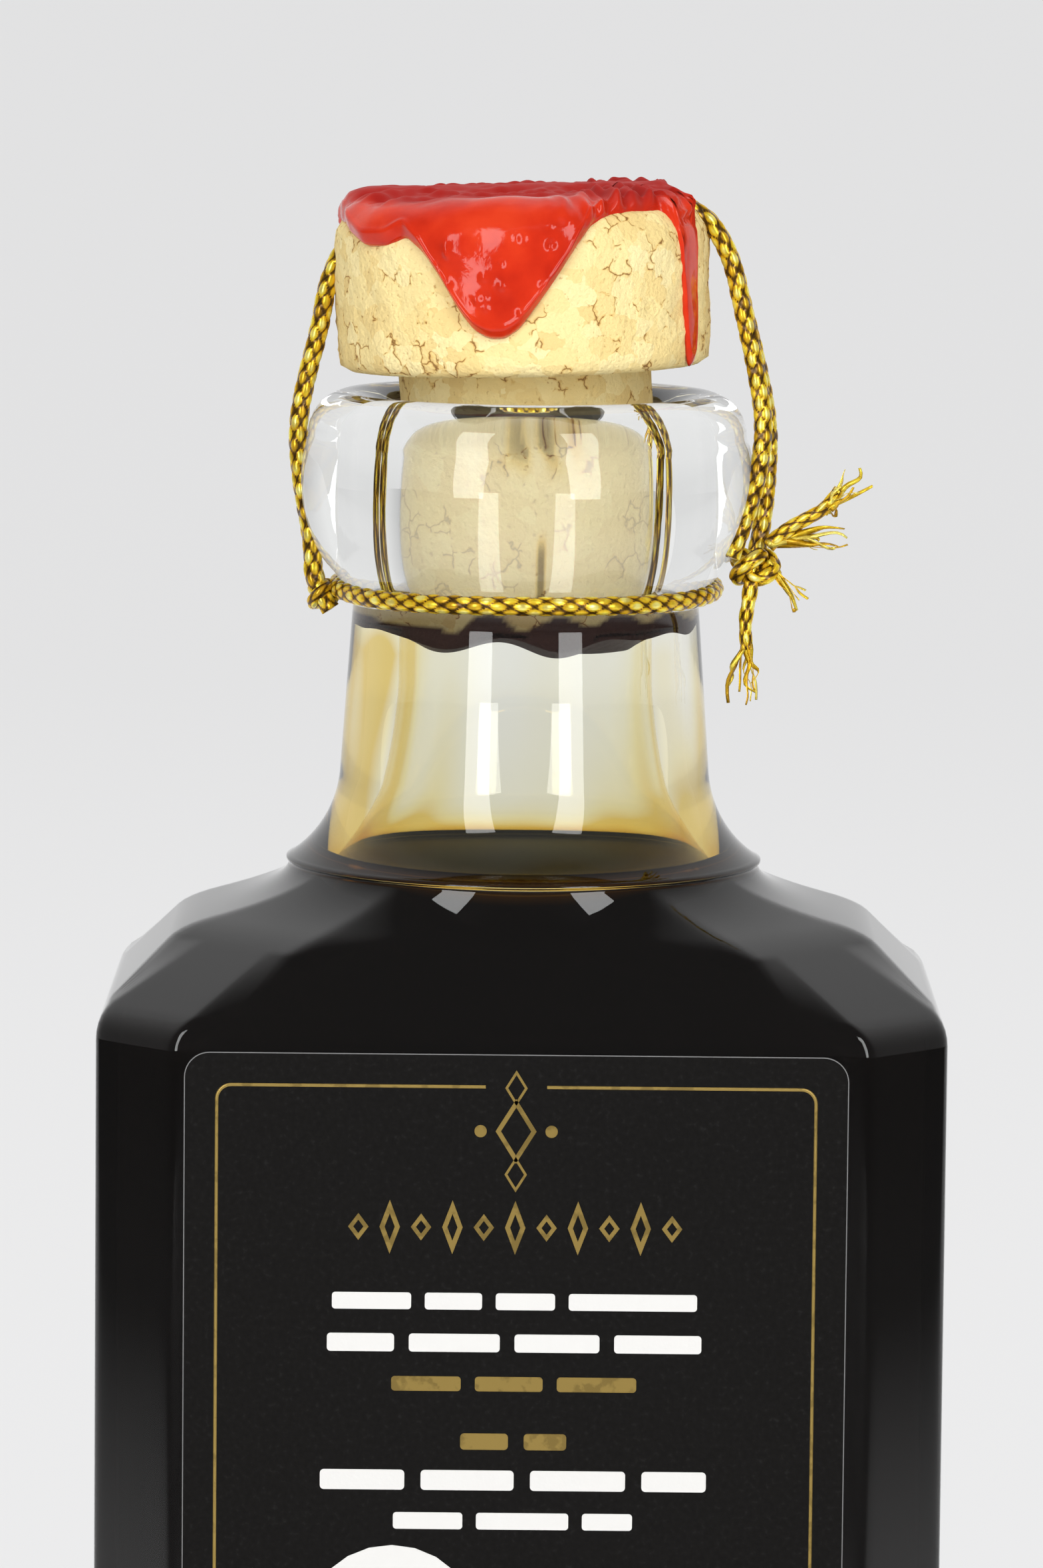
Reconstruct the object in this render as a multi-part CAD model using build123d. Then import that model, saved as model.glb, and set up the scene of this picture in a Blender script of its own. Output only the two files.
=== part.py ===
"""A clear glass bottle of dark vinegar, corked, waxed and tied with a cord.

The bottle is oblong in plan with flat-cut corners, bevelled shoulders, a round
neck and a thick bowl-shaped collar. A T-shaped cork stopper sits a little
crooked in the bore. Sealing wax runs over its head, and a braided cord rings
the neck, climbs the collar, crosses the cork under the wax and is knotted at
the right. Lengths are millimetres, +Z is up, and the origin is the middle of
the foot, on the surface that the bottle stands on. The label faces -Y.
"""

from build123d import *
import math
import os

# ---- Body ----
body_width = 63.0
body_depth = 47.5
corner_leg = 6.0            # each leg of the flat that cuts a vertical corner
wall = 2.8
base_thickness = 5.5
foot_round = 2.2
inner_round = 3.0           # inside, where the walls meet the floor
corner_round = 1.2          # softening of the upright corner edges
punt_depth = 1.0            # hollow under the base
punt_inset = 7.5

# ---- Shoulder, measured down from the crease where the neck begins ----
crease_height = 115.0
crease_radius = 17.75
bevel_foot_drop = 9.9
bevel_head_drop = 4.0
bevel_inset_side = 5.9      # how far the bevel leans in over the narrow sides
bevel_inset_front = 4.7     # and over the wide front and back
bevel_head_corner_leg = 9.7
front_crease_angle = 48.0   # from the front to the first shoulder crease
side_crease_angle = 72.0    # from the front to the second
shoulder_wall = 1.9         # level thickness of glass at the head of the bevel
shoulder_floor = 2.3        # how much lower the inside of that edge is
inner_foot_drop = 1.2       # the same at the foot of the bevel
inner_crease_drop = 1.6

# ---- Neck and collar, heights measured up from the crease ----
flare_height = 6.8
flare_radius = 13.95
neck_top_height = 20.3
neck_top_radius = 13.0
collar_radius = 16.55
collar_widest_height = 32.3
collar_belly_height = 25.1
collar_belly_radius = 15.1
lip_height = 35.5
lip_radius = 14.0
bore_radius = 9.6
bore_flare_height = 14.0
mouth_height = 32.0

# ---- Vinegar ----
fill_drop = 0.7             # the level, below the crease

# ---- Cork stopper ----
cork_clearance = 0.05
shank_foot_height = 16.3
shank_chamfer = 0.8
head_foot_height = 37.5
head_height = 12.3
head_radius = 14.1
head_top_round = 3.0
head_foot_round = 0.8
head_tilt = 1.8             # degrees, the right side up
head_shift = -0.3

# ---- Sealing wax ----
wax_top = 1.1
wax_side = 0.75
wax_hem = 48.3              # lower edge between the runs, above the crease
tongue = [(-8.6, 48.3), (-7.0, 47.1), (-5.7, 45.0), (-4.4, 42.4), (-2.7, 40.6),
          (-1.7, 40.25), (-0.5, 40.9), (1.0, 42.6), (2.2, 44.6), (3.9, 47.0), (5.4, 48.3)]
left_lobe = [(-15.5, 48.3), (-13.2, 47.5), (-11.4, 46.9), (-9.8, 47.6), (-8.6, 48.3)]
right_run_top = 48.3
right_run_width = 1.2
right_run_middle = 12.8
right_run_foot = 37.9
back_runs = [(-9.0, 2.6, 44.6), (-2.0, 2.0, 46.2), (6.5, 3.4, 42.8)]   # middle, half width, foot

# ---- Tie cord, heights above the crease ----
cord_diameter = 1.4
ring_gap = 0.5              # between the ring of cord and the glass neck
ring_height = 20.8
ring_tilt = 1.0             # degrees, the front hangs lower
knot_middle = (17.1, -2.6, 22.7)
knot_radius = 1.7
# Hand-chosen routes, from the ring at the left over the cork to the knot at the right.
front_strand = [(-14.7, -1.9, 19.1), (-16.0, -1.6, 21.0), (-16.1, -1.5, 23.0), (-16.2, -1.4, 25.2), (-17.0, -1.2, 28.6),
                (-17.35, -1.1, 32.6), (-16.7, -1.0, 36.4), (-15.65, -1.0, 40.2), (-15.1, -1.0, 44.0),
                (-13.0, -0.95, 47.9), (-9.6, -0.9, 49.7), (-3.8, -0.9, 49.9), (2.4, -0.9, 50.1),
                (8.4, -0.9, 50.3), (12.9, -1.0, 49.4), (15.1, -1.1, 46.2), (16.1, -1.3, 41.8),
                (17.1, -1.5, 37.6), (17.85, -1.9, 33.2), (17.3, -3.1, 29.4), (16.3, -4.6, 26.2),
                (15.3, -5.1, 23.6)]
rear_strand = [(-14.8, 0.6, 19.1), (-16.0, 0.6, 21.0), (-16.1, 0.6, 23.0), (-16.4, 0.55, 25.2), (-17.05, 0.5, 28.6),
               (-17.4, 0.45, 32.6), (-16.7, 0.5, 36.4), (-15.7, 0.5, 40.2), (-15.1, 0.55, 44.0),
               (-13.0, 0.55, 47.9), (-9.6, 0.6, 49.7), (-3.8, 0.6, 49.9), (2.4, 0.6, 50.1),
               (8.4, 0.6, 50.3), (12.9, 0.5, 49.4), (15.1, 0.4, 46.2), (16.2, 0.3, 41.8),
               (17.3, 0.1, 37.6), (18.2, -0.2, 33.2), (18.1, -0.7, 29.0), (17.7, -1.6, 25.6),
               (17.3, -2.2, 23.6)]
upper_tail = [(18.2, -3.1, 24.4), (19.5, -3.5, 25.6), (21.1, -3.8, 26.5), (22.5, -4.0, 27.3),
              (23.4, -4.1, 28.7)]
lower_tail = [(16.9, -3.6, 21.6), (16.7, -3.9, 20.0), (16.4, -4.1, 18.4), (16.6, -4.2, 16.6)]

# ---- Label ----
label_width = 48.7
label_thickness = 0.15
label_round = 1.9
label_top_gap = 1.4         # below the foot of the bevel
label_foot_height = 10.0    # above the standing surface
label_shift = -0.35


def octagon(half_x, half_y, leg, z):
    """A level oblong face with its four corners cut at 45 degrees."""
    quarter = [(half_x - leg, -half_y), (half_x, leg - half_y)]
    right = quarter + [(x, -y) for x, y in reversed(quarter)]
    outline = right + [(-x, -y) for x, y in right]
    return make_face(Polyline([(x, y, z) for x, y in outline], close=True))


def crease_disc(radius, z):
    """A round face split into eight arcs, one for each edge of an octagon."""
    quarter = [front_crease_angle, side_crease_angle]
    right = quarter + [180 - a for a in reversed(quarter)]
    turns = right + [180 + a for a in right]
    arcs = []
    for start, end in zip(turns, turns[1:] + [turns[0] + 360]):
        spots = [math.radians(a - 90) for a in (start, (start + end) / 2, end)]
        arcs.append(ThreePointArc(*[(radius * math.cos(a), radius * math.sin(a), z) for a in spots]))
    return Face(Wire(arcs))


def turned(outline):
    """A solid of revolution about Z from edges in the XZ plane, closed along the axis."""
    start = outline[0] @ 0
    end = outline[-1] @ 1
    closing = Polyline(end, (0, 0, end.Z), (0, 0, start.Z), start)
    return revolve(make_face(outline + [closing]), Axis.Z, 360)


def at(radius, height):
    """A point of a turned outline, its height measured from the crease."""
    return (radius, 0, crease_height + height)


def stack(half_x, half_y, leg, foot, bevel_foot, head_x, head_y, head_leg, bevel_head, radius, top):
    """Straight walls, the bevel and the faceted shoulder, up to a round crease."""
    walls = extrude(octagon(half_x, half_y, leg, foot), bevel_foot - foot)
    head = octagon(head_x, head_y, head_leg, bevel_head)
    bevel = loft([octagon(half_x, half_y, leg, bevel_foot), head], ruled=True)
    shoulder = loft([head, crease_disc(radius, top)], ruled=True)
    return walls, bevel, shoulder


def tube(points, diameter):
    """A round cord along straight runs joined by tangent arcs."""
    spots = [Vector(x, y, crease_height + z) for x, y, z in points]
    runs = [b - a for a, b in zip(spots, spots[1:])]
    radii = []
    for before, after in zip(runs, runs[1:]):
        half_turn = math.radians(before.get_angle(after)) / 2
        radii.append(0.45 * min(before.length, after.length) / math.tan(half_turn))
    path = FilletPolyline(*spots, radius=radii)
    print("cord length", round(path.length, 1), "smallest radius", round(min(radii), 1))
    return sweep(Plane(spots[0], z_dir=path % 0) * Circle(diameter / 2), path=path)


# ---- Glass, outside ----
half_width = body_width / 2
half_depth = body_depth / 2
bevel_foot = crease_height - bevel_foot_drop
bevel_head = crease_height - bevel_head_drop
head_half_width = half_width - bevel_inset_side
head_half_depth = half_depth - bevel_inset_front

outer_walls, outer_bevel, outer_shoulder = stack(
    half_width, half_depth, corner_leg, 0, bevel_foot, head_half_width, head_half_depth,
    bevel_head_corner_leg, bevel_head, crease_radius, crease_height)
outer_walls = fillet(outer_walls.edges().filter_by(Axis.Z), corner_round)
outer_walls = fillet(outer_walls.faces().sort_by(Axis.Z)[0].edges(), foot_round)

crease = at(crease_radius, 0)
flare_top = at(flare_radius, flare_height)
neck_top = at(neck_top_radius, neck_top_height)
collar_widest = at(collar_radius, collar_widest_height)
lip = at(lip_radius, lip_height)
mouth = at(bore_radius, mouth_height)
neck_line = Line(flare_top, neck_top)
neck = turned([
    TangentArc(flare_top, crease, tangent=(neck_line % 0) * -1).reversed(),
    neck_line,
    ThreePointArc(neck_top, at(collar_belly_radius, collar_belly_height), collar_widest),
    TangentArc(collar_widest, lip, tangent=(0, 0, 1)),
    TangentArc(lip, mouth, tangent=(-1, 0, 0)),
])
outside = outer_walls + outer_bevel + outer_shoulder + neck

# ---- Glass, inside ----
inner_crease = at(crease_radius - wall, -inner_crease_drop)
bore_foot = at(bore_radius, bore_flare_height)
inner_walls, inner_bevel, inner_shoulder = stack(
    half_width - wall, half_depth - wall, corner_leg - wall * (2 - math.sqrt(2)),
    base_thickness, bevel_foot - inner_foot_drop,
    head_half_width - shoulder_wall, head_half_depth - shoulder_wall, bevel_head_corner_leg,
    bevel_head - shoulder_floor, crease_radius - wall, inner_crease[2])
inner_walls = fillet(inner_walls.faces().sort_by(Axis.Z)[0].edges(), inner_round)
bore = turned([
    TangentArc(bore_foot, inner_crease, tangent=(0, 0, -1)).reversed(),
    Line(bore_foot, mouth),
])
cavity = inner_walls + inner_bevel + inner_shoulder + bore
punt = extrude(octagon(half_width - punt_inset, half_depth - punt_inset, corner_leg, 0), punt_depth)
bottle_glass = outside - cavity - punt

# ---- Vinegar, up to its level ----
level = crease_height - fill_drop
below_level = Box(body_width, body_depth, level, align=(Align.CENTER, Align.CENTER, Align.MIN))
vinegar = cavity & below_level

# ---- Stopper: an upright shank in the bore and a head that leans ----
shank_radius = bore_radius - cork_clearance
shank_foot = crease_height + shank_foot_height
shank_height = head_foot_height + head_foot_round - shank_foot_height
upright = (Align.CENTER, Align.CENTER, Align.MIN)
shank = Pos(0, 0, shank_foot) * Cylinder(shank_radius, shank_height, align=upright)
shank = chamfer(shank.edges().sort_by(Axis.Z)[0], shank_chamfer)
head_seat = Pos(head_shift, 0, crease_height + head_foot_height) * Rot(0, -head_tilt, 0)
head = Cylinder(head_radius, head_height, align=upright)
head = fillet(head.edges().sort_by(Axis.Z)[-1], head_top_round)
head = fillet(head.edges().sort_by(Axis.Z)[0], head_foot_round)
head = head_seat * head

# ---- Tie cord ----
strands = {
    "tie_cord_front_strand": tube(front_strand, cord_diameter),
    "tie_cord_rear_strand": tube(rear_strand, cord_diameter),
    "tie_cord_upper_tail": tube(upper_tail, cord_diameter * 0.8),
    "tie_cord_lower_tail": tube(lower_tail, cord_diameter * 0.8),
}
ring_radius = neck_top_radius + ring_gap + cord_diameter / 2
ring = Pos(0, 0, crease_height + ring_height) * Rot(ring_tilt, 0, 0) * Torus(ring_radius, cord_diameter / 2)
x, y, z = knot_middle
knot = Pos(x, y, crease_height + z) * Sphere(knot_radius)

# The cord bites into the cork, and the wax closes over both.
over_cork = strands["tie_cord_front_strand"] + strands["tie_cord_rear_strand"]
cork_stopper = shank + head - over_cork

# ---- Sealing wax ----
skin = Cylinder(head_radius + wax_side, head_height + wax_top, align=upright)
skin = head_seat * fillet(skin.edges().sort_by(Axis.Z)[-1], head_top_round)
reach = head_radius + wax_side + 5
ceiling = head_foot_height + head_height + 10


def curtain(outline, side):
    """Everything above a run of wax, drawn from the front, on one side of the stopper."""
    foot = [(x, 0, crease_height + z) for x, z in outline]
    edge = Spline(*foot) if len(foot) > 2 else Line(*foot)
    top = [(x, 0, crease_height + ceiling) for x in (outline[-1][0], outline[0][0])]
    sheet = make_face([edge, Polyline(edge @ 1, *top, edge @ 0)])
    return extrude(sheet, amount=reach, dir=(0, side, 0))


right_run = [(right_run_middle + s * right_run_width / 2, z)
             for s, z in ((-1, right_run_top), (-0.8, right_run_foot + 2), (0.1, right_run_foot),
                          (0.9, right_run_foot + 2), (1, right_run_top))]
cap = curtain([(-reach, wax_hem), (reach, wax_hem)], -1) + curtain([(-reach, wax_hem), (reach, wax_hem)], 1)
for run in (tongue, left_lobe, right_run):
    cap += curtain(run, -1)
for middle, half, foot in back_runs:
    cap += curtain([(middle - half, wax_hem), (middle, foot), (middle + half, wax_hem)], 1)
wax_seal = (skin & cap) - head - over_cork

# ---- Label ----
label_head = bevel_foot - label_top_gap
label_height = label_head - label_foot_height
sheet = RectangleRounded(label_width, label_height, label_round)
label_plane = Plane((label_shift, -half_depth, label_foot_height + label_height / 2), x_dir=(1, 0, 0),
                    z_dir=(0, -1, 0))
front_label = extrude(label_plane * sheet, label_thickness)

pieces = {
    "bottle_glass": bottle_glass,
    "vinegar": vinegar,
    "cork_stopper": cork_stopper,
    "wax_seal": wax_seal,
    "tie_cord_ring": ring,
    "tie_cord_knot": knot - over_cork - strands["tie_cord_upper_tail"] - strands["tie_cord_lower_tail"],
    "front_label": front_label,
    **strands,
}
os.makedirs("parts", exist_ok=True)
for name, solid in pieces.items():
    export_step(solid, f"parts/{name}.step")
    print(name, len(solid.solids()), solid.is_valid, round(solid.volume / 1000, 2), "ml")
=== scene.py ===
# %% [markdown]
# # A corked bottle of dark vinegar
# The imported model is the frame: every piece made here sits where its solid sits.
# Shapes are designed in millimetres and become metres when a mesh is made.

# %% Load the frame
import math

import bmesh
import bpy
import numpy as np
from mathutils import Matrix, Vector


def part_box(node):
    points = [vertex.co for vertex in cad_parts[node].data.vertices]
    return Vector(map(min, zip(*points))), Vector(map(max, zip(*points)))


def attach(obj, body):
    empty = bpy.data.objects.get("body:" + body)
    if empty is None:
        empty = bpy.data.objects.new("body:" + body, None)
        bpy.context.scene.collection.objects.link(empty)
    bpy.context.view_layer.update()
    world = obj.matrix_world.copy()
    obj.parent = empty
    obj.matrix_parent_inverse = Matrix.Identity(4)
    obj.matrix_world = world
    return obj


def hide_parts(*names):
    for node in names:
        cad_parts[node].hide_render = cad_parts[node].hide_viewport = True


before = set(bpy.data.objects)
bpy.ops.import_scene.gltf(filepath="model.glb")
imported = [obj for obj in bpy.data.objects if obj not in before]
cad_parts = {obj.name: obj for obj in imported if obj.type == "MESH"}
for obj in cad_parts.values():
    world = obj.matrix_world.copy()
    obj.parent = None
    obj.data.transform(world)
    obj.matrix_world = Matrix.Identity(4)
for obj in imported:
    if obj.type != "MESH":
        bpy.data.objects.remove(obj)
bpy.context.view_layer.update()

MM = 0.001
glass_high = np.array(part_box("bottle_glass")[1]) / MM
body_x, body_y = glass_high[:2]
lip_height = 35.5   # from the crease, where the body ends and the neck begins, up to the lip
crease = glass_high[2] - lip_height
print("crease at", round(crease, 2), "mm, body", body_x, body_y)

# %% [markdown]
# ## Surfaces from grids
# Most pieces are one grid of points, rows by columns, that wraps round on itself.
# Working out the whole grid as arrays keeps each shape one short formula, and
# the same helper turns any grid into a mesh with a UV map.

# %% A grid of points becomes a piece
def surface(name, grid, material, ring=False, attribute=None):
    """Joins each point to its right and lower neighbour; columns wrap round, and ring closes rows."""
    rows, cols = grid.shape[:2]
    index = np.arange(rows * cols).reshape(rows, cols)
    across = np.arange(cols)
    down = np.arange(rows if ring else rows - 1)
    i, j = np.meshgrid(down, across, indexing="ij")
    i2, j2 = (i + 1) % rows, (j + 1) % cols
    quads = np.stack([index[i, j], index[i, j2], index[i2, j2], index[i2, j]], -1).reshape(-1, 4)
    u, v = j / len(across), i / len(down)
    du, dv = 1 / len(across), 1 / len(down)
    corner_uv = np.stack([np.stack([u, v], -1), np.stack([u + du, v], -1),
                          np.stack([u + du, v + dv], -1), np.stack([u, v + dv], -1)], -2)
    mesh = bpy.data.meshes.new(name)
    mesh.from_pydata((grid.reshape(-1, 3) * MM).tolist(), [], quads.tolist())
    layer = mesh.uv_layers.new(name="along")
    layer.data.foreach_set("uv", corner_uv.reshape(-1).astype(np.float32))
    if attribute is not None:
        mark = mesh.attributes.new("shade", "FLOAT", "POINT")
        mark.data.foreach_set("value", attribute.reshape(-1).astype(np.float32))
    return place(name, mesh, material)


def place(name, mesh, material):
    """Closes seams and poles, turns faces outwards, and rides the piece on the body."""
    work = bmesh.new()
    work.from_mesh(mesh)
    bmesh.ops.remove_doubles(work, verts=work.verts, dist=1e-7)
    bmesh.ops.recalc_face_normals(work, faces=work.faces)
    work.to_mesh(mesh)
    work.free()
    mesh.shade_smooth()
    mesh.materials.append(material)
    piece = bpy.data.objects.new(name, mesh)
    bpy.context.scene.collection.objects.link(piece)
    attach(piece, "root")
    print(name, len(mesh.polygons), "faces")
    return piece


def ripple(points, size, seed, waves=14):
    """Smooth noise near -1 to 1: the sum of sines in random directions, about one wave per size."""
    rng = np.random.default_rng(seed)
    turn = rng.normal(size=(waves, 3))
    turn *= (2 * math.pi / size) * rng.uniform(0.6, 1.5, (waves, 1))\
        / np.linalg.norm(turn, axis=1)[:, None]
    phase = rng.uniform(0, 2 * math.pi, waves)
    return np.sin(points @ turn.T + phase).sum(-1) / math.sqrt(waves)

# %% [markdown]
# ## Materials
# Each finish is a Principled shader fed by a few small nodes. A node's input is
# either a number or a link from another node, so these helpers take both, and a
# material then reads as a short list of steps.

# %% Nodes that are set or linked
def feed(links, value, socket):
    """Links value into the socket when it is itself a socket, and sets it otherwise."""
    if isinstance(value, bpy.types.NodeSocket):
        links.new(value, socket)
    else:
        socket.default_value = value


def calculate(nodes, links, operation, *values, clamp=False):
    """One Math node: the operation on its values, held between 0 and 1 by clamp."""
    node = nodes.new("ShaderNodeMath")
    node.operation, node.use_clamp = operation, clamp
    for value, socket in zip(values, node.inputs):
        feed(links, value, socket)
    return node.outputs[0]


def map_range(nodes, links, value, source, target, kind="LINEAR"):
    """Carries value from the source range to the target range."""
    node = nodes.new("ShaderNodeMapRange")
    node.interpolation_type = kind
    for key, number in zip(("From Min", "From Max", "To Min", "To Max"), (*source, *target)):
        node.inputs[key].default_value = number
    links.new(value, node.inputs["Value"])
    return node.outputs[0]


def colour_mix(nodes, links, factor, first, second, blend="MIX"):
    """Mixes two colours by factor; each is a socket or three numbers."""
    node = nodes.new("ShaderNodeMix")
    node.data_type, node.blend_type = "RGBA", blend
    feed(links, factor, node.inputs["Factor"])
    for key, color in (("A", first), ("B", second)):
        feed(links, (*color, 1) if isinstance(color, tuple) else color, node.inputs[key])
    return node.outputs["Result"]


def stored_shade(nodes):
    """The value that the mesh carries at each point as "shade"."""
    node = nodes.new("ShaderNodeAttribute")
    node.attribute_name = "shade"
    return node.outputs["Fac"]


print("node helpers ready")

# %% [markdown]
# Cork, wax, paper, foil and cord are all a little uneven. One group gives each
# of them two layers of noise, and each material chooses how coarse they are.

# %% The shared speckle group
def make_speckle():
    """Noise at two scales: Mask is the broad one sharpened about its middle, Fine the small one."""
    group = bpy.data.node_groups.new("speckle", "ShaderNodeTree")
    for name, default in (("Broad scale", 300.0), ("Fine scale", 2000.0), ("Sharpness", 4.0)):
        socket = group.interface.new_socket(name, in_out="INPUT", socket_type="NodeSocketFloat")
        socket.default_value = default
    for name in ("Mask", "Fine"):
        group.interface.new_socket(name, in_out="OUTPUT", socket_type="NodeSocketFloat")
    nodes, links = group.nodes, group.links
    given, result = nodes.new("NodeGroupInput"), nodes.new("NodeGroupOutput")
    where = nodes.new("ShaderNodeTexCoord")

    def noise(scale):
        node = nodes.new("ShaderNodeTexNoise")
        node.inputs["Detail"].default_value = 4
        links.new(where.outputs["Object"], node.inputs["Vector"])
        links.new(given.outputs[scale], node.inputs["Scale"])
        return node.outputs["Fac"]

    centred = calculate(nodes, links, "SUBTRACT", noise("Broad scale"), 0.5)
    mask = calculate(nodes, links, "MULTIPLY_ADD", centred, given.outputs["Sharpness"], 0.5, clamp=True)
    links.new(mask, result.inputs["Mask"])
    links.new(noise("Fine scale"), result.inputs["Fine"])
    return group


speckle = make_speckle()
print("speckle group:", len(speckle.nodes), "nodes")

# %% [markdown]
# A finish starts from the Principled shader that a new material brings. These
# helpers set it up, place the speckle, and turn noise into colour or into relief.

# %% Finishes
def finish(name, color, roughness, **sockets):
    """A Principled material with constants set on its own sockets."""
    material = bpy.data.materials.new(name)
    material.use_nodes = True
    shader = material.node_tree.nodes["Principled BSDF"]
    shader.inputs["Base Color"].default_value = (*color, 1)
    shader.inputs["Roughness"].default_value = roughness
    for key, value in sockets.items():
        shader.inputs[key.replace("_", " ")].default_value = value
    return material, material.node_tree.nodes, material.node_tree.links, shader


def add_speckle(nodes, broad, fine, sharpness):
    """The speckle group, placed with this material's own values."""
    node = nodes.new("ShaderNodeGroup")
    node.node_tree = speckle
    for name, value in (("Broad scale", broad), ("Fine scale", fine), ("Sharpness", sharpness)):
        node.inputs[name].default_value = value
    return node


def ramp(nodes, links, source, stops):
    """The colours of a ramp fed by source; stops are (position, colour)."""
    node = nodes.new("ShaderNodeValToRGB")
    elements = node.color_ramp.elements
    while len(elements) < len(stops):
        elements.new(0.5)
    for element, (position, color) in zip(elements, stops):
        element.position = position
        element.color = (*color, 1)
    links.new(source, node.inputs["Fac"])
    return node.outputs["Color"]


def bump(nodes, links, shader, source, distance, strength):
    """Raises the surface by source times distance, in metres."""
    node = nodes.new("ShaderNodeBump")
    node.inputs["Distance"].default_value = distance
    node.inputs["Strength"].default_value = strength
    links.new(source, node.inputs["Height"])
    links.new(node.outputs["Normal"], shader.inputs["Normal"])


print("finishing helpers ready")

# %% [markdown]
# Clear glass takes a faint yellow where vinegar has wetted the neck. The tint is
# stored on the mesh as "shade", so that it follows the wall and not the view.

# %% Glass and vinegar
def make_glass():
    """Clear; its tint is the stored film of vinegar, deeper at glancing angles."""
    material, nodes, links, shader = finish("clear glass", (1, 1, 1), 0.0, IOR=1.5,
                                            Transmission_Weight=1.0)
    glancing = nodes.new("ShaderNodeLayerWeight")
    glancing.inputs["Blend"].default_value = 0.5
    deeper = calculate(nodes, links, "MULTIPLY_ADD", glancing.outputs["Facing"], 2.0, 0.34)
    film = calculate(nodes, links, "MULTIPLY", deeper, stored_shade(nodes))
    tint = ramp(nodes, links, film,
                [(0.0, (0.97, 0.98, 0.97)), (0.35, (0.97, 0.95, 0.80)),
                 (0.7, (0.95, 0.83, 0.42)), (1.0, (0.80, 0.50, 0.07))])
    links.new(tint, shader.inputs["Base Color"])
    return material


def make_vinegar():
    """Nearly black, and orange-brown where it is stored as thin: partly the thin vinegar's own colour,
    partly painted light shining through it.
    """
    material, nodes, links, shader = finish("dark vinegar", (0.006, 0.004, 0.003), 0.06, IOR=1.06,
                                            Specular_IOR_Level=0.1)
    thin_amber_light = ramp(nodes, links, stored_shade(nodes),
                 [(0.0, (0.005, 0.0035, 0.003)), (0.6, (0.03, 0.014, 0.003)),
                  (1.0, (0.36, 0.17, 0.015))])
    links.new(thin_amber_light, shader.inputs["Base Color"])
    return material


clear_glass = make_glass()
dark_vinegar = make_vinegar()
print("made", clear_glass.name, "and", dark_vinegar.name)

# %% [markdown]
# ## The bottle
# A moulded bottle is one skin of glass. Each level ring of it is an oblong with
# cut corners that turns into a circle at the crease, so a ring is described by
# two half widths, the corner cut, how round it is and its height. The whole skin,
# outside and inside, is a list of such rings, softened where the mould is eased.

# %% Rings of the bottle
columns = 336
softness = 190.0   # the power that rounds the upright corners: higher is crisper
corner_leg = 6.0


def outline_radius(half_x, half_y, leg, turn):
    """Distance to the oblong's edge along each direction: the flats' distances, softly at their least."""
    c, s = np.abs(np.cos(turn)) + 1e-6, np.abs(np.sin(turn)) + 1e-6
    flats = np.stack(np.broadcast_arrays(half_x / c, half_y / s, (half_x + half_y - leg) / (c + s)))
    return (flats ** -softness).sum(0) ** (-1 / softness)


def spread_directions(count):
    """Directions spaced evenly along the body's outline, closer together round its corners."""
    fine = np.linspace(0, 2 * math.pi, 7201)
    r = outline_radius(body_x, body_y, corner_leg, fine)
    p = np.stack([r * np.cos(fine), r * np.sin(fine)], -1)
    step = np.diff(p, axis=0)
    heading = np.unwrap(np.arctan2(step[:, 1], step[:, 0]))
    weight = np.linalg.norm(step, axis=1) + 16 * np.abs(np.diff(heading, append=heading[-1:]))
    total = np.concatenate([[0], np.cumsum(weight)])
    return np.interp(np.arange(count) / count * total[-1], total, fine)


def ease(stations, reach, steps=6):
    """Rounds each corner of the list of rings with a short parabola; reach is in millimetres."""
    stations = np.array(stations, float)
    out = [stations[0]]
    for before, here, after, soft in zip(stations, stations[1:], stations[2:], reach):
        spans = [np.linalg.norm((p - here)[[0, 5]]) + 1e-9 for p in (before, after)]
        start = here + (before - here) * min(soft / spans[0], 0.45)
        end = here + (after - here) * min(soft / spans[1], 0.45)
        for t in np.linspace(0, 1, steps):
            out.append((1 - t) ** 2 * start + 2 * t * (1 - t) * here + t ** 2 * end)
    out.append(stations[-1])
    return np.array(out)


def bend(start, heading, end, steps):
    """Points of the circle that leaves start along heading, in degrees from level, and meets end."""
    start, end = np.array(start, float), np.array(end, float)
    chord = end - start
    swing = math.atan2(chord[1], chord[0]) - math.radians(heading)
    swing = (swing + math.pi) % (2 * math.pi) - math.pi
    turn = np.linspace(0, 2 * swing, steps)
    size = np.linalg.norm(chord) / (2 * math.sin(swing))
    h = math.radians(heading)
    return start + size * np.stack([np.sin(h + turn) - math.sin(h),
                                    math.cos(h) - np.cos(h + turn)], -1)


turns = spread_directions(columns)


def skin(rings):
    """Points of every ring: its softened oblong, blended with its circle, at its height."""
    half_x, half_y, leg, roundness, radius, height = [c[:, None] for c in np.asarray(rings).T]
    flat = outline_radius(half_x, half_y, leg, turns[None])
    r = (1 - roundness) * flat + roundness * radius
    return np.stack([r * np.cos(turns), r * np.sin(turns), np.broadcast_to(height, r.shape)], -1)


def ring_of(radius, height):
    """A round ring, its height measured from the crease."""
    return [radius, radius, 0, 1, radius, crease + height]


print(columns, "columns round the body")

# %% [markdown]
# From the foot up, the outside is a wall, a bevelled shoulder, the thin ridge of
# the mould's seam, a flare, a slightly tapered neck and a bowl-shaped collar. The
# mouth turns over into the bore, which swells into the body. Arcs join the parts.

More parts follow.
